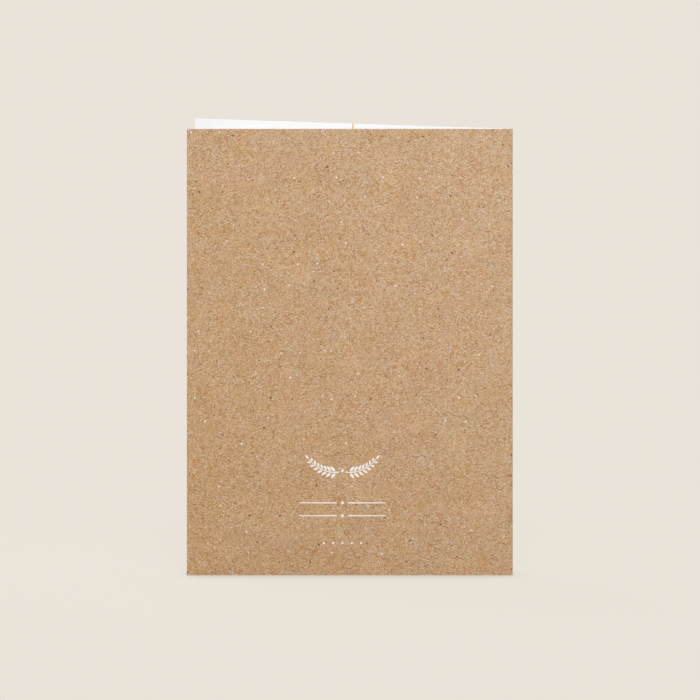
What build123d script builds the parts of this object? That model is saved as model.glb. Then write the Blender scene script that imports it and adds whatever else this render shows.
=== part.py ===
"""A folded greeting card that stands on its bottom edge, slightly open.

One sheet of stiff card is creased down its middle and folded to the usual 13 x 18 cm format. The back
panel is upright and faces -Y. The fold is at +X, and the front panel swings away behind the back one,
so the bottom edge draws a narrow V that carries the card.

Frame: +Z up along the fold, origin at the bottom centre of the card's box. Lengths are in millimetres,
angles in degrees.
"""

import math
import os

from build123d import *

# Folded format: what one panel measures from the outside of the fold to its free edge, and up the fold.
PANEL_WIDTH = 130.0
PANEL_HEIGHT = 180.0

# Card stock of 330 g/m2.
BOARD_THICKNESS = 0.4

# How far the front panel stands open from the back one.
OPENING_ANGLE = 12.7

# Inside radius of the bend, which is half the gap that the crease leaves between the two panels.
CREASE_RADIUS = 0.25

# The crease pushes a ridge of board into the fold. It is a round bead about the bend's own centre, and this
# is how far it stands out past the panels' inside faces.
BEAD_RISE = 0.07


def fold_centre(outer_radius):
    """The bend's centre, placed so that the origin is in the middle of the folded card's footprint."""
    opening = math.radians(OPENING_ANGLE)
    panel_run = PANEL_WIDTH - outer_radius
    depth = outer_radius * (1 + math.cos(opening)) + panel_run * math.sin(opening)
    return Vector(PANEL_WIDTH / 2 - outer_radius, outer_radius - depth / 2)


def sheet_section():
    """The card seen from above: two straight panels, the bend that joins them, and the bead inside it."""
    outer_radius = CREASE_RADIUS + BOARD_THICKNESS
    panel_run = PANEL_WIDTH - outer_radius
    centre = fold_centre(outer_radius)

    back_along, back_out = Vector(-1, 0), Vector(0, -1)
    front_along = Vector(-1, 0).rotate(Axis.Z, -OPENING_ANGLE)
    front_out = Vector(0, 1).rotate(Axis.Z, -OPENING_ANGLE)

    def point(along, out, run, radius):
        return centre + along * run + out * radius

    bend_middle = (back_along + front_along).normalized() * -1
    with BuildSketch() as section:
        with BuildLine():
            Line(point(back_along, back_out, panel_run, outer_radius), point(back_along, back_out, 0, outer_radius))
            ThreePointArc(
                point(back_along, back_out, 0, outer_radius),
                centre + bend_middle * outer_radius,
                point(front_along, front_out, 0, outer_radius),
            )
            Polyline(
                point(front_along, front_out, 0, outer_radius),
                point(front_along, front_out, panel_run, outer_radius),
                point(front_along, front_out, panel_run, CREASE_RADIUS),
                point(front_along, front_out, 0, CREASE_RADIUS),
            )
            ThreePointArc(
                point(front_along, front_out, 0, CREASE_RADIUS),
                centre + bend_middle * CREASE_RADIUS,
                point(back_along, back_out, 0, CREASE_RADIUS),
            )
            Polyline(
                point(back_along, back_out, 0, CREASE_RADIUS),
                point(back_along, back_out, panel_run, CREASE_RADIUS),
                point(back_along, back_out, panel_run, outer_radius),
            )
        make_face()
        with Locations(centre):
            Circle(CREASE_RADIUS + BEAD_RISE)
    return section.sketch


def folded_card():
    """The whole card as one solid: its section carried up the height of the fold."""
    card = extrude(sheet_section(), PANEL_HEIGHT, dir=(0, 0, 1))
    return card.solid()


os.makedirs("parts", exist_ok=True)
export_step(folded_card(), "parts/card.step")
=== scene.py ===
"""A folded greeting card of kraft board that stands slightly open, with its print and a plain studio."""

import math
from collections import namedtuple

import bmesh
import bpy
from bpy.props import FloatProperty, FloatVectorProperty, PointerProperty
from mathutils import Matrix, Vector


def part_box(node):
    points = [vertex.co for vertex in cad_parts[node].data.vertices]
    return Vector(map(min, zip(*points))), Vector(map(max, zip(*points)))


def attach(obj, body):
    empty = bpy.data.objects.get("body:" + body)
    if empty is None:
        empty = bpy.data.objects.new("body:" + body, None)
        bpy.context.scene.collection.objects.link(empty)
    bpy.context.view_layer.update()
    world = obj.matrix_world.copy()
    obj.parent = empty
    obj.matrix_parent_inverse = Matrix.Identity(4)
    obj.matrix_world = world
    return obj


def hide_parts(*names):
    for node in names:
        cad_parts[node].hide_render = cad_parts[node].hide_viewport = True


bl_info = {
    "name": "Folded Greeting Card",
    "version": (1, 0, 0),
    "blender": (4, 5, 0),
    "location": "3D View > Sidebar > Card",
    "description": "Makes a kraft greeting card that stands slightly open, its print and a plain studio",
    "category": "Object",
}

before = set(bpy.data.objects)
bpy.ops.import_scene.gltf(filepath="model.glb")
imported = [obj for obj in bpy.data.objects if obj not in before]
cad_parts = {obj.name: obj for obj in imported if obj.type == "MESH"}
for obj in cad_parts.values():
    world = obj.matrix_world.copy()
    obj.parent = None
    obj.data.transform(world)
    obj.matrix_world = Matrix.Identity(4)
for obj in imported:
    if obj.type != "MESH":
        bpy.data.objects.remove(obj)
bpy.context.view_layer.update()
CARD_LOW, CARD_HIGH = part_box("card")

MM = 0.001
SHEET_MAP = "Sheet"
BAKE_MAP = "OFBake"


def srgb(red, green, blue):
    """The linear colour that shows as these values from 0 to 255, by the curve that screens use."""
    return tuple(
        c / 12.92 if c <= 0.04045 else ((c + 0.055) / 1.055) ** 2.4
        for c in (red / 255, green / 255, blue / 255)
    )


def dimmed(tint, share):
    """A colour with this share of its light."""
    return tuple(c * share for c in tint)


def length(name, description, default):
    """A size in metres that the user can change."""
    return FloatProperty(
        name=name,
        description=description,
        default=default,
        min=0.0,
        precision=5,
        subtype="DISTANCE",
        unit="LENGTH",
    )


def amount(name, description, default, **more):
    """A plain number that the user can change."""
    return FloatProperty(name=name, description=description, default=default, min=0.0, **more)


def colour(name, description, default):
    """A colour that the user can change."""
    return FloatVectorProperty(
        name=name, description=description, default=default, size=3, min=0.0, max=1.0, subtype="COLOR"
    )


class CardFormat(bpy.types.PropertyGroup):
    """The sheet's own sizes. Its panels and its opening come from the frame."""

    board: length("Board", "Thickness of the card stock", 0.4 * MM)
    crease: length("Crease", "Inside radius of the bend", 0.25 * MM)
    bead_rise: length("Bead", "How far the crease's ridge stands past the inside faces", 0.07 * MM)
    chamfer: length("Cut edge", "How far the guillotine rounds the cut edges", 0.03 * MM)


class KraftLook(bpy.types.PropertyGroup):
    """The brown outside face."""

    shade: colour("Dark fibre", "Colour of the dark fibres", srgb(163, 107, 25))
    mid: colour("Kraft", "Colour that most of the face has", srgb(198, 164, 127))
    light: colour("Light fibre", "Colour of the light fibres", srgb(222, 198, 168))
    bark: colour("Brown speck", "Colour of the bark specks", srgb(98, 62, 34))
    slate: colour("Grey speck", "Colour of the specks of old ink", srgb(92, 86, 78))
    red: colour("Red speck", "Colour of the dyed red specks", srgb(206, 70, 56))
    teal: colour("Teal speck", "Colour of the dyed teal specks", srgb(118, 160, 168))
    lint: colour("White speck", "Colour of the bleached specks", srgb(250, 244, 234))
    grain: amount("Grain", "Strength of the fine felt of fibres", 1.15)
    hue: amount("Hue", "How far the fibres differ in hue", 1.14)
    relief: length("Relief", "Height of the paper's tooth", 0.008 * MM)
    roughness: amount("Roughness", "Roughness of the uncoated face", 0.88, max=1.0)
    gloss: amount("Gloss", "How much the uncoated face mirrors", 0.25, max=1.0)


class WhiteLook(bpy.types.PropertyGroup):
    """The white lining on the inside face, and the core that the cut edges show."""

    face: colour("White", "Colour of the inside face", srgb(237, 237, 238))
    core: colour("Core", "Colour of the brown core that the cut edges show", srgb(203, 172, 138))
    relief: length("Relief", "Height of the paper's tooth", 0.006 * MM)
    roughness: amount("Roughness", "Roughness of the inside face", 0.75, max=1.0)
    gloss: amount("Gloss", "How much the inside face mirrors", 0.3, max=1.0)


class PrintLook(bpy.types.PropertyGroup):
    """The white ornament and the gold rule."""

    ink: colour("Ink", "Colour of the white ink", srgb(252, 249, 244))
    gold: colour("Gold", "Colour of the gold rule", srgb(229, 200, 76))
    film: length("Film", "How far ink and foil stand out of the face", 0.02 * MM)
    hairline: length("Hairline", "Width of the thinnest printed line", 0.48 * MM)
    rule_width: length("Rule width", "Width of the gold rule", 0.6 * MM)


class Studio(bpy.types.PropertyGroup):
    """The floor, the lamps and the camera."""

    paper: colour("Background", "Colour of the floor and of all that is behind it", srgb(234, 227, 217))
    bounce: amount("Bounce", "How much light the floor throws back, as a share of its colour", 0.5, max=1.0)
    sky: amount("Sky", "Strength of the even light from all round", 0.55)
    key: amount("Key", "Power of the lamp at the front, in watts", 6.25)
    fill: amount("Fill", "Power of the lamp behind the card, in watts", 8.8)
    side: amount("Side", "Power of the lamp that looks in between the panels, in watts", 4.0)
    elevation: FloatProperty(
        name="Camera height",
        description="Angle of the view above level",
        default=math.radians(8.4),
        subtype="ANGLE",
    )
    frame_width: length("Frame", "Width of what the camera sees", 279.3 * MM)


# The Mix node's sockets for colours, which share their names with those for numbers and vectors.
MIX_SHARE, MIX_LOW, MIX_HIGH, MIX_RESULT = 0, 6, 7, 2


class Socket:
    """A shader socket. An expression on sockets and numbers adds the Math nodes that work it out."""

    def __init__(self, tree, socket=None):
        self.tree = tree
        self.socket = socket

    def node(self, kind, settings=None, inputs=None, output=0):
        """An output of a new node of this kind: its settings are made first, then its sockets' values."""
        made = self.tree.nodes.new(kind)
        for name, value in (settings or {}).items():
            if name == "stops":
                set_stops(made.color_ramp, value)
            else:
                setattr(made, name, value)
        for name, value in (inputs or {}).items():
            plug = made.inputs[name]
            if isinstance(value, Socket):
                self.tree.links.new(value.socket, plug)
            else:
                plug.default_value = (*value, 1.0) if plug.type == "RGBA" else value
        return Socket(self.tree, made.outputs[output])

    def out(self, name):
        """Another output of the node that this one belongs to."""
        return Socket(self.tree, self.socket.node.outputs[name])

    def calculate(self, operation, *others):
        """What the operation makes of this value and the others."""
        kind = "ShaderNodeVectorMath" if self.socket.type == "VECTOR" else "ShaderNodeMath"
        return self.node(kind, {"operation": operation}, dict(enumerate((self, *others))))

    def __add__(self, other):
        return self.calculate("ADD", other)

    __radd__ = __add__

    def __sub__(self, other):
        return self.calculate("SUBTRACT", other)

    def __rsub__(self, other):
        return self * -1 + other

    def __mul__(self, other):
        return self.calculate("MULTIPLY", other)

    __rmul__ = __mul__

    def __abs__(self):
        return self.calculate("ABSOLUTE")

    def below(self, limit):
        """1 where this number is under the limit, and 0 elsewhere."""
        return self.calculate("LESS_THAN", limit)

    def between(self, low, high):
        """The number low where this one is 0 and high where it is 1."""
        return self * (high - low) + low

    def ease(self, start, end, low=0.0, high=1.0):
        """This number's way from start to end, as a smooth step from low to high."""
        settings = {"interpolation_type": "SMOOTHSTEP"}
        inputs = {"Value": self, "From Min": start, "From Max": end, "To Min": low, "To Max": high}
        return self.node("ShaderNodeMapRange", settings, inputs)

    def times(self, factor):
        """A vector made longer by a number."""
        return self.node("ShaderNodeVectorMath", {"operation": "SCALE"}, {0: self, "Scale": factor})

    def parts(self):
        """The three numbers of a vector or a colour."""
        kind = "ShaderNodeSeparateXYZ" if self.socket.type == "VECTOR" else "ShaderNodeSeparateColor"
        first = self.node(kind, inputs={0: self})
        return [Socket(self.tree, output) for output in first.socket.node.outputs]

    def mix(self, way, share, low, high):
        """Two colours put together in this way by a Mix node."""
        settings = {"data_type": "RGBA", "blend_type": way}
        inputs = {MIX_SHARE: share, MIX_LOW: low, MIX_HIGH: high}
        return self.node("ShaderNodeMix", settings, inputs, MIX_RESULT)

    def blend(self, low, high):
        """The colour low where this number is 0 and high where it is 1."""
        return self.mix("MIX", self, low, high)

    def tinted(self, tint):
        """This colour multiplied by another."""
        return self.mix("MULTIPLY", 1.0, self, tint)

    def choose(self, first, second):
        """The first shader where this number is 0 and the second where it is 1."""
        return self.node("ShaderNodeMixShader", inputs={0: self, 1: first, 2: second})


def set_stops(ramp, stops):
    """The colour ramp's stops, from (place, colour) pairs."""
    while len(ramp.elements) < len(stops):
        ramp.elements.new(1.0)
    for element, (place, tint) in zip(ramp.elements, stops):
        element.position = place
        element.color = (*tint, 1.0)


def start_in(tree):
    """Empties a node tree and gives a socket to start its expressions from."""
    tree.nodes.clear()
    return Socket(tree)


def new_material(name):
    """An empty node material and a socket to start its expressions from."""
    material = bpy.data.materials.new(name)
    material.use_nodes = True
    return material, start_in(material.node_tree)


def finish_surface(shader, kind="ShaderNodeOutputMaterial"):
    """Joins a shader to the surface of its material, or of its world."""
    output = shader.tree.nodes.new(kind)
    shader.tree.links.new(shader.socket, output.inputs["Surface"])


def sheet_place(start):
    """Where a point lies on the flat sheet, in millimetres: along it and up it."""
    return start.node("ShaderNodeUVMap", {"uv_map": SHEET_MAP}).times(1 / MM)


def card_place(start):
    """Where a point is on the folded card, in millimetres."""
    return start.node("ShaderNodeTexCoord", output="Object").times(1 / MM)


# A smooth noise: over the flat sheet or through space, how many features it has to the millimetre, how many
# finer layers it has, and how strong those are.
Noise = namedtuple("Noise", "space scale detail roughness")

FINE_TOOTH = Noise("2D", 2.6, 3.0, 0.5)
PATCHES = Noise("2D", 0.16, 1.0, 0.5)
LIVELINESS = Noise("2D", 0.9, 1.0, 0.5)
HUE_SPOTS = Noise("2D", 0.9, 2.0, 0.5)
CLOUDS = Noise("2D", 0.07, 3.0, 0.9)
BOARD_TOOTH = Noise("2D", 1.6, 3.0, 0.5)
INK_TOOTH = Noise("3D", 2.4, 2.0, 0.5)
FOIL_TOOTH = Noise("3D", 1.8, 2.0, 0.5)


def noise(place, kind, output="Fac"):
    """The noise of this kind at a place, from 0 to 1."""
    inputs = {"Vector": place, "Scale": kind.scale, "Detail": kind.detail, "Roughness": kind.roughness}
    return place.node("ShaderNodeTexNoise", {"noise_dimensions": kind.space}, inputs, output)


def colour_noise(place, kind):
    """Three noises of this kind, each around 0."""
    return [part - 0.5 for part in noise(place, kind, "Color").parts()]


# A kind of fibre or speck, one in each cell of an uneven net: the width of the cells, its own length and
# width, the share of the cells that keep theirs, its strength, its bend and what the net is shifted by.
# Sizes are in millimetres.
Fibres = namedtuple("Fibres", "cell length width share strength bend shift")

# The felt of short fibres. The strength is how far apart their lightest and their darkest are.
FELT = (
    Fibres(0.50, 0.6, 0.26, 1.0, 1.24, 0.3, 3.1),
    Fibres(0.72, 0.9, 0.24, 1.0, 1.08, 0.4, 17.7),
    Fibres(1.05, 1.4, 0.24, 1.0, 0.58, 0.4, 41.3),
    Fibres(1.55, 2.3, 0.24, 1.0, 0.38, 0.3, 73.9),
    Fibres(2.10, 3.1, 0.24, 1.0, 0.33, 0.2, 101.0),
)

# Single long fibres, lighter than the felt where their strength is above 0 and darker where it is below.
LONG_FIBRES = (
    Fibres(3.7, 4.2, 0.24, 0.6, 1.1, 0.12, 131.0),
    Fibres(5.9, 6.4, 0.24, 0.6, 1.3, 0.08, 171.0),
    Fibres(3.9, 3.0, 0.26, 0.6, -1.5, 0.15, 211.0),
    Fibres(6.7, 4.8, 0.26, 0.5, -2.2, 0.10, 257.0),
)

# Specks. The strength is how much of the felt they hide, and 1 hides all of it.
DARK_SPECKS = (
    Fibres(4.1, 0.8, 0.48, 0.25, 0.78, 0.0, 307.0),
    Fibres(7.3, 1.1, 0.62, 0.33, 1.05, 0.0, 347.0),
    Fibres(11.7, 1.4, 0.80, 0.20, 1.25, 0.0, 367.0),
)
WHITE_SPECKS = (
    Fibres(4.7, 0.9, 0.44, 0.35, 0.74, 0.0, 389.0),
    Fibres(8.9, 1.1, 0.68, 0.24, 1.25, 0.0, 433.0),
)
DYED_SPECKS = (Fibres(13.0, 0.8, 0.5, 0.3, 0.8, 0.0, 487.0),)

# A net's shift up the sheet, as a share of its shift along it.
SHIFT_SLANT = 0.7

# Where a fibre fades out and where it is full, as shares of its length and of its width from its middle.
END_FADE = (0.5, 0.2)
SIDE_FADE = (0.55, 0.1)


def fibre_field(place, kind):
    """One fibre in each cell of the net, turned its own way: its mask and two random numbers up to 1."""
    shifted = (place + (kind.shift, kind.shift * SHIFT_SLANT, 0.0)).times(1 / kind.cell)
    net = {"voronoi_dimensions": "2D"}
    centre = shifted.node("ShaderNodeTexVoronoi", net, {"Vector": shifted, "Scale": 1.0}, "Position")
    turn, kept, chance = centre.out("Color").parts()
    right, up, _ = (shifted - centre).times(kind.cell).parts()
    angle = turn * math.tau
    cosine = angle.calculate("COSINE")
    sine = angle.calculate("SINE")
    along = right * cosine + up * sine
    aside = up * cosine - right * sine + (chance - 0.5) * along * along * kind.bend
    ends = abs(along).ease(*(kind.length * share for share in END_FADE))
    sides = abs(aside).ease(*(kind.width * share for share in SIDE_FADE))
    return ends * sides, kept, chance


# How the felt and its hue spots lie. A number below 1 draws them out along the sheet, the way it ran
# through the mill, and one above 1 packs them closer up it.
GRAIN_STRETCH = (0.84, 1.28, 1.0)
HUE_STRETCH = (0.92, 1.46, 1.0)

# How light a place is: the shares of the fine tooth, the clouds and the long fibres, next to the felt's 1.
TOOTH_SHARE = 0.9
CLOUD_SHARE = 0.26
LONG_SHARE = 0.18

# The noises' values between which a patch goes from its weakest to its strongest, and what that does to the
# strength of the felt and of its hue.
PATCH_EDGES = (0.3, 0.7)
LIVELY_EDGES = (0.38, 0.62)
FELT_IN_PATCH = (0.75, 1.25)
FELT_WHERE_LIVELY = (0.75, 1.25)
HUE_WHERE_LIVELY = (0.3, 1.7)

# The felt's ramp of colours: the places of the look's three colours on it, how much of the dark fibres'
# light its dark end keeps, how much of the light ones' way to white its light end leaves, and how much of
# the ramp a tone of 1 takes.
SHADE_STOP, MID_STOP, LIGHT_STOP = 0.3, 0.5, 0.7
DARK_END = 0.45
LIGHT_END = 0.6
TONE_SPAN = 0.4

# What the hue spots do to the red, green and blue: from cool to warm, and from rose to green.
COOL, WARM = (0.84, 0.975, 1.18), (1.19, 1.02, 0.77)
ROSE, GREEN = (1.055, 0.86, 1.09), (0.945, 1.14, 0.91)

# How far the clouds go from cool to warm and from rose to green, and how much warmer dark fibres are.
CLOUD_WARMTH = 0.43
CLOUD_GREENNESS = 0.22
DARK_WARMTH = 0.15

# How much weaker the hue is in light fibres, and how far it keeps to a few strong spots: the weight in
# those and the weight all over, of warmth and of greenness.
HUE_FADE = 0.55
HUE_PEAKS = ((5.0, 0.2), (3.5, 0.36))

# The sheet's painted light, a slow change of colour from its fold to its free edges and from its foot to its
# head: lighter and greyer towards the fold and the head as a painted sheen, and darker and warmer towards
# the free edges and the foot as painted shade.
FOLD_PAINTED_SHEEN, FREE_PAINTED_SHADE = (1.029, 1.044, 1.089), (0.98, 0.964, 0.95)
FOOT_PAINTED_SHADE, HEAD_PAINTED_SHEEN = (1.0, 0.993, 0.969), (0.984, 1.009, 1.044)

# The random numbers between which a speck goes from its first colour to its second, and how much of its
# strength the weakest speck of a kind lacks.
SECOND_COLOUR = (0.6, 0.9)
SPECK_FADE = 0.5

# How high the felt stands in the relief, next to the fine tooth.
FELT_RELIEF = 0.5


def felt_of_fibres(place):
    """How much lighter or darker than the rest the felt's fibres are at a place."""
    felt = 0
    for kind in FELT:
        mask, _, chance = fibre_field(place, kind)
        felt = felt + mask * (chance - 0.5) * kind.strength
    return felt


def long_fibres(place):
    """How much lighter or darker than the felt the single long fibres are at a place."""
    fibres = 0
    for kind in LONG_FIBRES:
        mask, kept, _ = fibre_field(place, kind)
        fibres = fibres + mask * kept.below(kind.share) * (kind.strength * LONG_SHARE)
    return fibres


def kraft_ramp(tone, look):
    """The felt's colour, from how much lighter or darker it is there than the kraft's own."""
    stops = (
        (0.0, dimmed(look.shade, DARK_END)),
        (SHADE_STOP, look.shade),
        (MID_STOP, look.mid),
        (LIGHT_STOP, look.light),
        (1.0, tuple(1.0 - (1.0 - c) * LIGHT_END for c in look.light)),
    )
    return tone.node("ShaderNodeValToRGB", {"stops": stops}, {"Fac": tone * TONE_SPAN + MID_STOP})


def hue_spots(place, depth):
    """How much warmer and how much greener each spot of the felt is, at this depth of hue."""
    spots = zip(colour_noise(place * HUE_STRETCH, HUE_SPOTS), HUE_PEAKS)
    return [spot * (abs(spot) * strong + all_over) * depth for spot, (strong, all_over) in spots]


def painted_light_tints(place, sheet):
    """The painted sheen and shade across the sheet and up it, as tints."""
    along, up, _ = place.parts()
    from_fold = abs(along - sheet.run / MM) * (MM / sheet.run)
    from_foot = up * (MM / sheet.height)
    return from_fold.blend(FOLD_PAINTED_SHEEN, FREE_PAINTED_SHADE), from_foot.blend(FOOT_PAINTED_SHADE, HEAD_PAINTED_SHEEN)


def with_specks(base, place, look):
    """A colour with the kraft's specks laid over it."""
    groups = (
        (DARK_SPECKS, look.bark, look.slate),
        (WHITE_SPECKS, look.lint, look.lint),
        (DYED_SPECKS, look.red, look.teal),
    )
    for kinds, first, second in groups:
        for kind in kinds:
            mask, kept, chance = fibre_field(place, kind)
            strength = kept * (-SPECK_FADE * kind.strength / kind.share) + kind.strength
            hidden = mask * kept.below(kind.share) * strength
            base = hidden.blend(base, chance.ease(*SECOND_COLOUR).blend(first, second))
    return base


def board_shader(base, tooth, look):
    """Matte board of this colour, with a tooth that catches the light."""
    bump = tooth.node("ShaderNodeBump", inputs={"Height": tooth, "Strength": 1.0, "Distance": look.relief})
    inputs = {
        "Base Color": base,
        "Roughness": look.roughness,
        "Specular IOR Level": look.gloss,
        "Normal": bump,
    }
    return base.node("ShaderNodeBsdfPrincipled", inputs=inputs)


def kraft_material(look, sheet):
    """Uncoated recycled kraft: a felt of short fibres, single long ones, specks and faint clouds, under a
    painted sheen and shade.
    """
    material, start = new_material("kraft_face")
    place = sheet_place(start)
    grainwise = place * GRAIN_STRETCH
    felt = felt_of_fibres(grainwise)
    tooth = noise(grainwise, FINE_TOOTH)
    patchy = noise(place, PATCHES).ease(*PATCH_EDGES, *FELT_IN_PATCH)
    lively = noise(grainwise, LIVELINESS).ease(*LIVELY_EDGES)
    clouds = colour_noise(place, CLOUDS)

    grain = (felt + (tooth - 0.5) * TOOTH_SHARE) * patchy * lively.between(*FELT_WHERE_LIVELY) * look.grain
    tone = grain + clouds[0] * CLOUD_SHARE + long_fibres(place)
    warm, green = hue_spots(place, lively.between(*HUE_WHERE_LIVELY) * (1 - tone * HUE_FADE) * look.hue)
    warmth = warm + clouds[1] * CLOUD_WARMTH - grain * DARK_WARMTH + 0.5
    greenness = green + clouds[2] * CLOUD_GREENNESS + 0.5

    base = kraft_ramp(tone, look)
    # The last two tints are the painted sheen and shade across the sheet and up it.
    for tint in (warmth.blend(COOL, WARM), greenness.blend(ROSE, GREEN), *painted_light_tints(place, sheet)):
        base = base.tinted(tint)
    finish_surface(board_shader(with_specks(base, place, look), felt * FELT_RELIEF + tooth, look))
    return material


# The ends of a smooth step over the tooth: for board and foil, and for ink.
SOFT_STEP = (0.3, 0.7)
INK_STEP = (0.25, 0.5)

# How much of its colour each keeps in its tooth's hollows, which is painted shade there.
BOARD_HOLLOW_SHADE = 0.975
INK_HOLLOW_SHADE = 0.93
FOIL_HOLLOW_SHADE = 0.9

INK_ROUGHNESS = 0.6
FOIL_METAL = 0.35

# The foil's roughness goes from one number to the other over this step of its tooth.
FOIL_STEP = (0.2, 0.8)
FOIL_ROUGHNESS = (0.32, 0.45)


def board_material(name, tint, look):
    """Smooth board with a faint tooth."""
    material, start = new_material(name)
    tooth = noise(sheet_place(start), BOARD_TOOTH)
    base = tooth.ease(*SOFT_STEP).blend(dimmed(tint, BOARD_HOLLOW_SHADE), tint)
    finish_surface(board_shader(base, tooth, look))
    return material


def ink_material(look):
    """Opaque white ink that takes a little of the face's tooth."""
    material, start = new_material("white_ink")
    tooth = noise(card_place(start), INK_TOOTH)
    base = tooth.ease(*INK_STEP).blend(dimmed(look.ink, INK_HOLLOW_SHADE), look.ink)
    inputs = {"Base Color": base, "Roughness": INK_ROUGHNESS}
    finish_surface(start.node("ShaderNodeBsdfPrincipled", inputs=inputs))
    return material


def gold_material(look):
    """Satin gold foil."""
    material, start = new_material("gold_foil")
    tooth = noise(card_place(start), FOIL_TOOTH)
    base = tooth.ease(*SOFT_STEP).blend(dimmed(look.gold, FOIL_HOLLOW_SHADE), look.gold)
    roughness = tooth.ease(*FOIL_STEP, *FOIL_ROUGHNESS)
    inputs = {"Base Color": base, "Metallic": FOIL_METAL, "Roughness": roughness}
    finish_surface(start.node("ShaderNodeBsdfPrincipled", inputs=inputs))
    return material


class FoldedSheet:
    """The card as a flat sheet that has been folded: it says where a point of the flat sheet ends up.

    A point is given by how far it lies along the outside face from the back panel's free edge, how high it
    is, and how deep it lies under the outside face.
    """

    def __init__(self, sizes):
        self.board = sizes.board
        self.inner = sizes.crease
        self.outer = sizes.crease + sizes.board
        self.bead = sizes.crease + sizes.bead_rise
        width = CARD_HIGH.x - CARD_LOW.x
        depth = CARD_HIGH.y - CARD_LOW.y
        self.height = CARD_HIGH.z - CARD_LOW.z
        self.run = width - self.outer
        # The opening follows from the depth, which is outer + outer * cos(opening) + run * sin(opening).
        reach = math.hypot(self.outer, self.run)
        opening = math.asin((depth - self.outer) / reach) - math.atan2(self.outer, self.run)
        self.turn = math.pi - opening
        self.bend = self.outer * self.turn
        self.length = 2 * self.run + self.bend
        self.centre = Vector((CARD_HIGH.x - self.outer, CARD_LOW.y + self.outer))
        self.bead_reach = math.sqrt(self.bead**2 - self.inner**2)

    def ray(self, angle):
        """The direction at this angle round the bend, from the back panel's outward normal."""
        return Vector((math.sin(angle), -math.cos(angle)))

    def face(self, along, radius, least=0.0):
        """A point on a panel's face at this radius, kept at least so far along the panel from the bend."""
        if along <= self.run:
            panel = Vector((-1, 0))
            out = self.ray(0)
            distance = self.run - along
        else:
            panel = self.ray(self.turn + math.pi / 2)
            out = self.ray(self.turn)
            distance = along - self.run - self.bend
        return self.centre + panel * max(distance, least) + out * radius

    def outside(self, along):
        """A point on the outside face."""
        past = along - self.run
        if 0 < past < self.bend:
            return self.centre + self.ray(past / self.outer) * self.outer
        return self.face(along, self.outer)

    def inside(self, along):
        """A point on the inside face, which runs over the crease's bead at the fold."""
        share = (along - self.run) / self.bend
        if 0 < share < 1:
            start = self.face(self.run, self.inner, self.bead_reach) - self.centre
            end = self.face(self.run + self.bend, self.inner, self.bead_reach) - self.centre
            first = math.atan2(start.y, start.x) % math.tau
            last = math.atan2(end.y, end.x) % math.tau
            angle = first + (last - first) * share
            return self.centre + Vector((math.cos(angle), math.sin(angle))) * self.bead
        return self.face(along, self.inner, self.bead_reach)

    def point(self, along, height, depth=0.0):
        """Where a point of the flat sheet is on the folded card."""
        place = self.outside(along).lerp(self.inside(along), depth / self.board)
        return Vector((place.x, place.y, CARD_LOW.z + height))


# How finely the sheet is divided: along each panel, round the bend and up its height.
PANEL_COLUMNS = 12
BEND_COLUMNS = 24
ROWS = 18

# From this angle on, the edge between two faces is shaded as a sharp one.
SHARP_ANGLE = math.radians(30)

# The sheet's kinds of faces, and the material that each has: kraft, white or core.
FACE_MATERIALS = {"outside": 0, "inside": 1, "edge": 2, "lining edge": 1}

# Shares of the bake's map: the outside face takes most of it, because it has the finest pattern, and each of
# the four strips of cut edge the least.
OUTSIDE_BAND = (0.215, 0.998)
INSIDE_BAND = (0.055, 0.205)
EDGE_BAND = 0.012

# What stays free at each end of the bake's map, and at each side of a cut edge's strip.
BAKE_MARGIN = 0.002
EDGE_MARGIN = 0.1


def spread(start, end, count):
    """Even steps from start to end, the start included and the end not."""
    return [start + (end - start) * k / count for k in range(count)]


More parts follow.
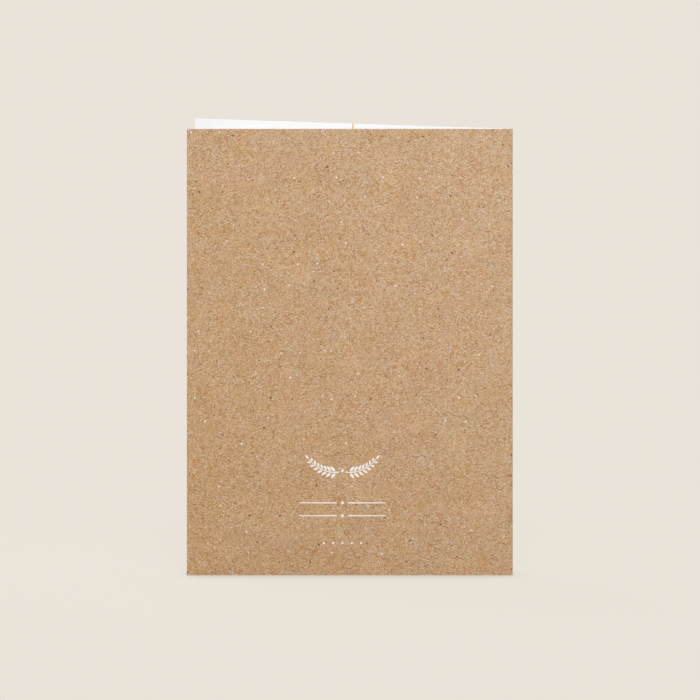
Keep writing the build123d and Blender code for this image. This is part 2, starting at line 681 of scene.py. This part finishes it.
def sheet_mesh(sheet, chamfer):
    """The folded sheet as one closed mesh, with its flat places in one UV map and the bake's in another."""
    fold_start, fold_end = sheet.run, sheet.run + sheet.bend
    end = sheet.length - chamfer
    top = sheet.height - chamfer
    alongs = spread(chamfer, fold_start, PANEL_COLUMNS) + spread(fold_start, fold_end, BEND_COLUMNS)
    alongs += spread(fold_end, end, PANEL_COLUMNS) + [end]
    heights = spread(chamfer, top, ROWS) + [top]
    columns, rows = len(alongs), len(heights)

    mesh = bmesh.new()
    flat = {}

    def vertex(along, height, depth):
        made = mesh.verts.new(sheet.point(along, height, depth))
        flat[made] = (along, height, depth)
        return made

    def cut_vertex(i, j, depth):
        along = {0: 0.0, columns - 1: sheet.length}.get(i, alongs[i])
        height = {0: 0.0, rows - 1: sheet.height}.get(j, heights[j])
        return vertex(along, height, depth)

    outside = [[vertex(along, height, 0) for height in heights] for along in alongs]
    inside = [[vertex(along, height, sheet.board) for height in heights] for along in alongs]
    border = [(i, 0) for i in range(columns)] + [(columns - 1, j) for j in range(1, rows)]
    border += [(i, rows - 1) for i in range(columns - 2, -1, -1)] + [(0, j) for j in range(rows - 2, 0, -1)]
    cut_depths = (chamfer, sheet.board - chamfer)
    rings = [
        [outside[i][j] for i, j in border],
        *([cut_vertex(i, j, depth) for i, j in border] for depth in cut_depths),
        [inside[i][j] for i, j in border],
    ]

    kinds = {}
    for kind, grid in (("outside", outside), ("inside", inside)):
        for i in range(columns - 1):
            for j in range(rows - 1):
                corners = grid[i][j], grid[i + 1][j], grid[i + 1][j + 1], grid[i][j + 1]
                kinds[mesh.faces.new(corners)] = kind
    for kind, outer, inner in zip(("edge", "edge", "lining edge"), rings, rings[1:]):
        for k in range(len(border)):
            after = (k + 1) % len(border)
            kinds[mesh.faces.new((outer[k], outer[after], inner[after], inner[k]))] = kind
    bmesh.ops.recalc_face_normals(mesh, faces=mesh.faces)

    sheet_map = mesh.loops.layers.uv.new(SHEET_MAP)
    bake_map = mesh.loops.layers.uv.new(BAKE_MAP)
    for face, kind in kinds.items():
        face.material_index = FACE_MATERIALS[kind]
        face.smooth = True
        corners = [flat[loop.vert] for loop in face.loops]
        for loop, corner in zip(face.loops, corners):
            loop[sheet_map].uv = corner[:2]
            loop[bake_map].uv = bake_place(sheet, kind, corners, corner)
    data = finished_mesh(mesh, "folded_card")
    data.set_sharp_from_angle(angle=SHARP_ANGLE)
    return data


def between_margins(share, margin):
    """A share of a strip that keeps this margin free at both of its ends."""
    return margin + (1 - 2 * margin) * share


def bake_place(sheet, kind, corners, corner):
    """A corner's place on the bake's map: both faces lie flat in bands, the cut edges in strips below."""
    along, height, depth = corner
    run = along / sheet.length
    up = height / sheet.height
    if kind in ("outside", "inside"):
        low, high = OUTSIDE_BAND if kind == "outside" else INSIDE_BAND
        return between_margins(run, BAKE_MARGIN), low + (high - low) * up
    first_along, first_height, _ = corners[0]
    if all(min(corner_along, sheet.length - corner_along) < sheet.board for corner_along, _, _ in corners):
        strip = 2 + (first_along > sheet.length / 2)
        run = up
    else:
        strip = first_height > sheet.height / 2
    aside = strip + between_margins(depth / sheet.board, EDGE_MARGIN)
    return between_margins(run, BAKE_MARGIN), aside * EDGE_BAND


def finished_mesh(mesh, name):
    """The mesh that was built, as data for an object."""
    data = bpy.data.meshes.new(name)
    mesh.to_mesh(data)
    mesh.free()
    return data


def place_object(name, data):
    """A new object in the scene that shows this data."""
    made = bpy.data.objects.new(name, data)
    bpy.context.scene.collection.objects.link(made)
    return made


def add_piece(name, data, materials, *nodes):
    """Adds a mesh as a piece of the card that rides with it and stands for these nodes."""
    piece = place_object(name, data)
    for material in materials:
        data.materials.append(material)
    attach(piece, "root")
    if nodes:
        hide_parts(*nodes)


class CARD_OT_fold_sheet(bpy.types.Operator):
    """Folds the sheet and gives it its kraft outside, its white inside and its cut edges"""

    bl_idname = "card.fold_sheet"
    bl_label = "Fold the sheet"

    def execute(self, context):
        scene = context.scene
        sheet = FoldedSheet(scene.card_format)
        white = scene.white_look
        materials = (
            kraft_material(scene.kraft_look, sheet),
            board_material("white_face", white.face, white),
            board_material("cut_edge", white.core, white),
        )
        add_piece("folded_card", sheet_mesh(sheet, scene.card_format.chamfer), materials, "card")
        return {"FINISHED"}


# How deep a film goes into the board, as a share of how far it stands out.
SUNK_SHARE = 0.5


class InkFilm:
    """Closed films of ink or foil on one face of the sheet, drawn on the flat sheet and folded with it.

    The depth is that of the face under the outside one, and the lift is how far the films stand out of it.
    """

    def __init__(self, sheet, depth, lift):
        self.sheet = sheet
        self.mesh = bmesh.new()
        out = -1 if depth == 0 else 1
        self.levels = (depth + out * lift, depth - out * lift * SUNK_SHARE)

    def add(self, outline):
        """A film with this outline: points along and up the flat sheet."""
        rings = [[self.mesh.verts.new(self.sheet.point(a, h, d)) for a, h in outline] for d in self.levels]
        self.mesh.faces.new(rings[0])
        self.mesh.faces.new(reversed(rings[1]))
        for k in range(len(outline)):
            after = (k + 1) % len(outline)
            self.mesh.faces.new((rings[0][after], rings[0][k], rings[1][k], rings[1][after]))

    def add_piece(self, name, material):
        """Makes all the films that were drawn one piece of the card."""
        bmesh.ops.recalc_face_normals(self.mesh, faces=self.mesh.faces)
        add_piece(name, finished_mesh(self.mesh, name), (material,))


# A leaf's half width goes up and down as a sine, in so many steps. The lean moves its widest place towards
# its root, and the fullness rounds it.
LEAF_STEPS = 12
LEAF_LEAN = 0.85
LEAF_FULLNESS = 0.9


def leaf(root, angle, size, width, gap):
    """The outline of a pointed leaf that grows away from root, a little clear of it."""
    ahead = Vector((math.cos(angle), math.sin(angle)))
    aside = Vector((-ahead.y, ahead.x))
    root = root + ahead * gap
    size = size - gap
    outline = []
    for side, steps in ((1, range(LEAF_STEPS)), (-1, range(LEAF_STEPS, 0, -1))):
        for k in steps:
            t = k / LEAF_STEPS
            half = width / 2 * math.sin(math.pi * t**LEAF_LEAN) ** LEAF_FULLNESS
            outline.append(tuple(root + ahead * (size * t) + aside * (half * side)))
    return outline


def ribbon(points, width, taper):
    """The outline of a line along these points, which loses this share of its width on the way."""
    last = len(points) - 1
    left, right = [], []
    for k, point in enumerate(points):
        ahead = (points[min(k + 1, last)] - points[max(k - 1, 0)]).normalized()
        half = width / 2 * (1 - taper * k / last)
        aside = Vector((-ahead.y, ahead.x)) * half
        left.append(tuple(point + aside))
        right.append(tuple(point - aside))
    return left + right[::-1]


DOT_CORNERS = 20
DIAMOND_CORNERS = 4


def disc(centre, radius, corners=DOT_CORNERS):
    """The outline of a dot, or of a diamond where it has so few corners."""
    turns = [math.tau * k / corners for k in range(corners)]
    return [(centre.x + radius * math.cos(a), centre.y + radius * math.sin(a)) for a in turns]


# The ornament's middle line and its rows on the back panel, from its free edge and from its bottom.
ORNAMENT_ALONG = 62.1 * MM
SPRIG_HEIGHT = 41.6 * MM
RULE_HEIGHTS = (29.2 * MM, 24.0 * MM)
DOT_HEIGHT = 13.0 * MM

# A sprig's stem, from the middle line: where it starts, how far it reaches and rises, and the point that
# bows it. The taper is what it loses of its width.
STEM_START = 1.3 * MM
STEM_REACH = 13.4 * MM
STEM_RISE = 5.2 * MM
BOW_SHARE = 0.62
BOW_DROP = 0.8 * MM
STEM_STEPS = 24
STEM_TAPER = 0.45

# A sprig's pairs of leaves: where the first and the last grow, as shares of the stem, and how the leaves'
# length and their angle from the stem go from its start to its tip. The width is a share of the length.
LEAF_PAIRS = 7
FIRST_LEAF, LAST_LEAF = 0.1, 0.88
START_LEAF_LENGTH, TIP_LEAF_LENGTH = 3.4 * MM, 1.9 * MM
START_SPLAY, TIP_SPLAY = math.radians(52), math.radians(40)
LEAF_WIDTH = 0.34

# The single leaf at a sprig's tip, whose gap is a share of the hairline.
END_LEAF_LENGTH = 2.2 * MM
END_LEAF_WIDTH = 0.75 * MM
END_LEAF_GAP = 0.4

# The berry between the sprigs, a little above where their stems start.
BERRY_RISE = 0.6 * MM
BERRY_RADIUS = 0.55 * MM

# The rules start and end so far from the middle line, and a diamond stands in their gap.
RULE_START = 2.2 * MM
RULE_END = 17.2 * MM
RULE_STEPS = 12
RULE_TAPER = 0.3
DIAMOND_RADIUS = 0.75 * MM

DOTS_EACH_SIDE = 2
DOT_STEP = 3.7 * MM
DOT_RADIUS = 0.42 * MM


def sprig(side, hairline):
    """One curved twig with paired leaves, as outlines: side is 1 for the right one and -1 for the left."""
    foot = Vector((ORNAMENT_ALONG + side * STEM_START, SPRIG_HEIGHT))
    bow = Vector((ORNAMENT_ALONG + side * STEM_REACH * BOW_SHARE, SPRIG_HEIGHT - BOW_DROP))
    tip = Vector((ORNAMENT_ALONG + side * STEM_REACH, SPRIG_HEIGHT + STEM_RISE))

    def stem(t):
        return foot * (1 - t) ** 2 + bow * (2 * t * (1 - t)) + tip * t**2

    def heading(t):
        ahead = (bow - foot) * (1 - t) + (tip - bow) * t
        return math.atan2(ahead.y, ahead.x)

    outlines = [ribbon([stem(k / STEM_STEPS) for k in range(STEM_STEPS + 1)], hairline, STEM_TAPER)]
    for k in range(LEAF_PAIRS):
        t = FIRST_LEAF + (LAST_LEAF - FIRST_LEAF) * k / (LEAF_PAIRS - 1)
        size = START_LEAF_LENGTH + (TIP_LEAF_LENGTH - START_LEAF_LENGTH) * t
        splay = START_SPLAY + (TIP_SPLAY - START_SPLAY) * t
        for way in (1, -1):
            outlines.append(leaf(stem(t), heading(t) + way * splay, size, size * LEAF_WIDTH, hairline))
    outlines.append(leaf(tip, heading(1.0), END_LEAF_LENGTH, END_LEAF_WIDTH, hairline * END_LEAF_GAP))
    return outlines


def rule_pair(height, hairline):
    """A rule at each side of the middle line and the diamond between them, as outlines."""
    outlines = []
    for side in (1, -1):
        start = Vector((ORNAMENT_ALONG + side * RULE_START, height))
        end = Vector((ORNAMENT_ALONG + side * RULE_END, height))
        points = [start.lerp(end, k / RULE_STEPS) for k in range(RULE_STEPS + 1)]
        outlines.append(ribbon(points, hairline, RULE_TAPER))
    outlines.append(disc(Vector((ORNAMENT_ALONG, height)), DIAMOND_RADIUS, DIAMOND_CORNERS))
    return outlines


class CARD_OT_print_ornament(bpy.types.Operator):
    """Prints a plain leaf ornament in white ink low on the back panel"""

    bl_idname = "card.print_ornament"
    bl_label = "Print the ornament"

    def execute(self, context):
        look = context.scene.print_look
        sheet = FoldedSheet(context.scene.card_format)
        ink = ink_material(look)
        sprigs = InkFilm(sheet, 0.0, look.film)
        for side in (1, -1):
            for outline in sprig(side, look.hairline):
                sprigs.add(outline)
        sprigs.add(disc(Vector((ORNAMENT_ALONG, SPRIG_HEIGHT + BERRY_RISE)), BERRY_RADIUS))
        sprigs.add_piece("ornament_sprigs", ink)

        lines = InkFilm(sheet, 0.0, look.film)
        for height in RULE_HEIGHTS:
            for outline in rule_pair(height, look.hairline):
                lines.add(outline)
        for k in range(-DOTS_EACH_SIDE, DOTS_EACH_SIDE + 1):
            lines.add(disc(Vector((ORNAMENT_ALONG + k * DOT_STEP, DOT_HEIGHT)), DOT_RADIUS))
        lines.add_piece("ornament_rules", ink)
        return {"FINISHED"}


# The gold rule's middle, from the front panel's free edge.
GOLD_RULE_ALONG = 64.6 * MM


class CARD_OT_print_gold_rule(bpy.types.Operator):
    """Lays the gold rule down the middle of the front panel's inside face"""

    bl_idname = "card.print_gold_rule"
    bl_label = "Print the gold rule"

    def execute(self, context):
        look = context.scene.print_look
        sheet = FoldedSheet(context.scene.card_format)
        foot = context.scene.card_format.chamfer
        head = sheet.height - foot
        middle = sheet.length - GOLD_RULE_ALONG
        half = look.rule_width / 2
        levels = spread(foot, head, ROWS) + [head]
        rule = InkFilm(sheet, sheet.board, look.film)
        rule.add([(middle - half, h) for h in levels] + [(middle + half, h) for h in reversed(levels)])
        rule.add_piece("gold_rule", gold_material(look))
        return {"FINISHED"}


# The floor is a disc, and its radius is in metres.
FLOOR_RADIUS = 6.0
FLOOR_CORNERS = 96

# Right beside the card's foot the floor's glow is darkened to this share of its light, a painted contact
# shadow, and keeps all of it past the reach. The step is over how open a place is.
PAINTED_SHADOW_LIGHT = 0.78
CONTACT_REACH = 0.016
CONTACT_STEP = (0.5, 1.0)
CONTACT_SAMPLES = 8

# The floor shows this share of the lamps' light and shade up to the start, which is a distance from the
# card's middle, and none of it past the reach. The level makes that light as bright as the background.
SHADE_SHARE = 0.08
SHADE_START = 0.1
SHADE_REACH = 0.26
LIT_LEVEL = 0.92

WHITE = (1.0, 1.0, 1.0)
BLACK = (0.0, 0.0, 0.0)


def rays_that_show(start):
    """1 for rays that an eye follows, straight or in a gloss or through glass, and 0 for the rest."""
    rays = start.node("ShaderNodeLightPath", output="Is Camera Ray")
    return (rays + rays.out("Is Glossy Ray") + rays.out("Is Transmission Ray")).calculate("MINIMUM", 1.0)


def floor_material(look):
    """The background's own colour, with a painted contact shadow at the card's foot and a little real shade
    near it.
    """
    material, start = new_material("floor_paper")
    thrown = start.node("ShaderNodeBsdfDiffuse", inputs={"Color": dimmed(look.paper, look.bounce)})
    lit = start.node("ShaderNodeBsdfDiffuse", inputs={"Color": dimmed(look.paper, LIT_LEVEL)})
    painted_shadow_openness = start.node(
        "ShaderNodeAmbientOcclusion", {"samples": CONTACT_SAMPLES}, {"Distance": CONTACT_REACH}, "AO"
    )
    # The glow is darkened where the card hems the floor in: a painted contact shadow.
    tint = painted_shadow_openness.ease(*CONTACT_STEP, PAINTED_SHADOW_LIGHT, 1.0).blend(BLACK, look.paper)
    glow_with_painted_shadow = start.node("ShaderNodeEmission", inputs={"Color": tint, "Strength": 1.0})
    place = start.node("ShaderNodeNewGeometry", output="Position")
    distance = place.node("ShaderNodeVectorMath", {"operation": "LENGTH"}, {0: place}, "Value")
    share = distance.ease(SHADE_START, SHADE_REACH, SHADE_SHARE, 0.0)
    finish_surface(rays_that_show(start).choose(thrown, share.choose(glow_with_painted_shadow, lit)))
    return material


def make_world(look):
    """Even light from all round, which itself looks like the background."""
    world = bpy.data.worlds.new("studio")
    world.use_nodes = True
    start = start_in(world.node_tree)
    light = start.node("ShaderNodeBackground", inputs={"Color": WHITE, "Strength": look.sky})
    seen = start.node("ShaderNodeBackground", inputs={"Color": look.paper, "Strength": 1.0})
    finish_surface(rays_that_show(start).choose(light, seen), "ShaderNodeOutputWorld")
    return world


def add_floor(look):
    """A round floor large enough to fill every view."""
    shape = bmesh.new()
    bmesh.ops.create_circle(shape, cap_ends=True, radius=FLOOR_RADIUS, segments=FLOOR_CORNERS)
    floor = place_object("floor", finished_mesh(shape, "floor"))
    floor.data.materials.append(floor_material(look))


# A lamp: what the studio calls its power, its place and the width of its square of light, in metres.
Lamp = namedtuple("Lamp", "power place size")
LAMPS = (
    Lamp("key", Vector((0.10, -0.85, 0.70)), 0.5),
    Lamp("fill", Vector((-0.80, 0.85, 0.60)), 0.6),
    Lamp("side", Vector((-1.00, 0.10, 0.45)), 0.5),
)


def add_lamp(lamp, look):
    """A square soft lamp that points at the card's middle."""
    name = f"{lamp.power}_lamp"
    light = bpy.data.lights.new(name, "AREA")
    light.shape = "SQUARE"
    light.size = lamp.size
    light.energy = getattr(look, lamp.power)
    holder = place_object(name, light)
    holder.location = lamp.place
    holder.rotation_euler = ((CARD_LOW + CARD_HIGH) / 2 - lamp.place).to_track_quat("-Z", "Y").to_euler()


# Light passes to and fro between the two white faces many times before it is spent.
BOUNCES = 12

# What the middle of the picture shows: a point on the back panel's face, a little above and right of its
# middle.
PICTURE_CENTRE = Vector((0.1 * MM, CARD_LOW.y, 90.85 * MM))

# How far from that point the camera is, in metres.
CAMERA_DISTANCE = 2.0


def add_camera(look):
    """A camera with no perspective, as high above level as the studio says."""
    camera = bpy.data.cameras.new("camera")
    camera.type = "ORTHO"
    camera.ortho_scale = look.frame_width
    camera.clip_end = 4 * FLOOR_RADIUS
    back = Vector((0.0, -math.cos(look.elevation), math.sin(look.elevation)))
    holder = place_object("camera", camera)
    holder.location = PICTURE_CENTRE + back * CAMERA_DISTANCE
    holder.rotation_euler = (-back).to_track_quat("-Z", "Y").to_euler()
    bpy.context.scene.camera = holder


class CARD_OT_set_stage(bpy.types.Operator):
    """Sets a plain pale floor, soft lamps and the camera"""

    bl_idname = "card.set_stage"
    bl_label = "Set the stage"

    def execute(self, context):
        look = context.scene.card_studio
        context.scene.view_settings.view_transform = "Standard"
        context.scene.cycles.diffuse_bounces = BOUNCES
        context.scene.world = make_world(look)
        add_floor(look)
        for lamp in LAMPS:
            add_lamp(lamp, look)
        add_camera(look)
        return {"FINISHED"}


class CARD_PT_sidebar(bpy.types.Panel):
    """The card's steps and what can be changed about it"""

    bl_idname = "CARD_PT_sidebar"
    bl_label = "Greeting Card"
    bl_space_type = "VIEW_3D"
    bl_region_type = "UI"
    bl_category = "Card"

    def draw(self, context):
        for group, (title, _) in GROUPS.items():
            box = self.layout.box()
            box.label(text=title)
            settings = getattr(context.scene, group)
            for name in settings.bl_rna.properties.keys():
                if name not in ("rna_type", "name"):
                    box.prop(settings, name)
        for step in STEPS:
            self.layout.operator(step.bl_idname)


GROUPS = {
    "card_format": ("Sheet", CardFormat),
    "kraft_look": ("Kraft outside", KraftLook),
    "white_look": ("White inside", WhiteLook),
    "print_look": ("Print", PrintLook),
    "card_studio": ("Studio", Studio),
}
STEPS = (CARD_OT_fold_sheet, CARD_OT_print_ornament, CARD_OT_print_gold_rule, CARD_OT_set_stage)
CLASSES = (*(group for _, group in GROUPS.values()), *STEPS, CARD_PT_sidebar)


def register():
    for part in CLASSES:
        bpy.utils.register_class(part)
    for name, (_, group) in GROUPS.items():
        setattr(bpy.types.Scene, name, PointerProperty(type=group))


def unregister():
    for name in GROUPS:
        delattr(bpy.types.Scene, name)
    for part in reversed(CLASSES):
        bpy.utils.unregister_class(part)


def main():
    register()
    bpy.ops.card.fold_sheet()
    bpy.ops.card.print_ornament()
    bpy.ops.card.print_gold_rule()
    bpy.ops.card.set_stage()


if __name__ == "__main__":
    main()
